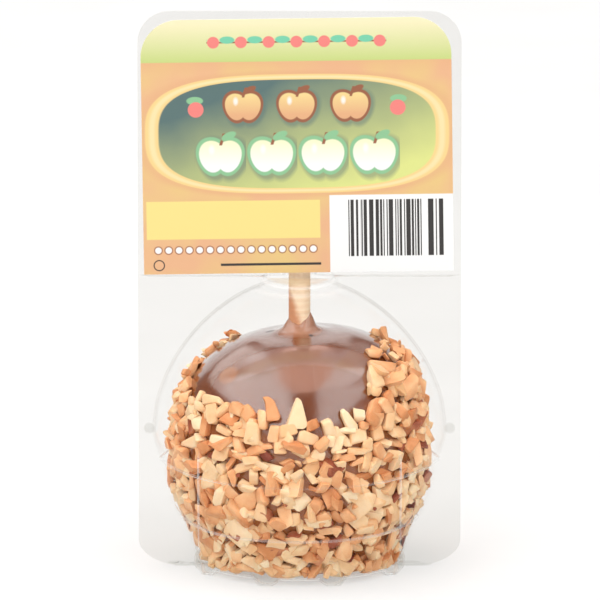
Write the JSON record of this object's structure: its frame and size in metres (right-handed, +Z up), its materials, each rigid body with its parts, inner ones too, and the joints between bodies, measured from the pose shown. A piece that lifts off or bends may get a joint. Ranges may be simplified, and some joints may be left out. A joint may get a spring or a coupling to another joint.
{
  "type": "caramel apple in a clear pack",
  "caption": "Nut-rolled caramel apple on a wooden stick, shut in a clear two-part pack with a flat panel, a domed bubble on small feet and a paper label.",
  "frame": {"origin": "on the surface that the pack stands on, under the middle of its bounding box", "axes": "+Z up along the stick, -Y towards the front of the pack with the label, +X to its right"},
  "size_m": [0.0782, 0.0722, 0.1379],
  "materials": {
    "clear_plastic": "clear, glossy",
    "caramel_and_nuts": "roasted chopped nuts on glossy caramel",
    "wood": "bare, smooth",
    "printed_paper": "printed, satin"
  },
  "bodies": {
    "root": {"front_shell": "clear_plastic", "back_shell": "clear_plastic", "coated_apple": "caramel_and_nuts", "stick": "wood", "label": "printed_paper"}
  },
  "joints": []
}
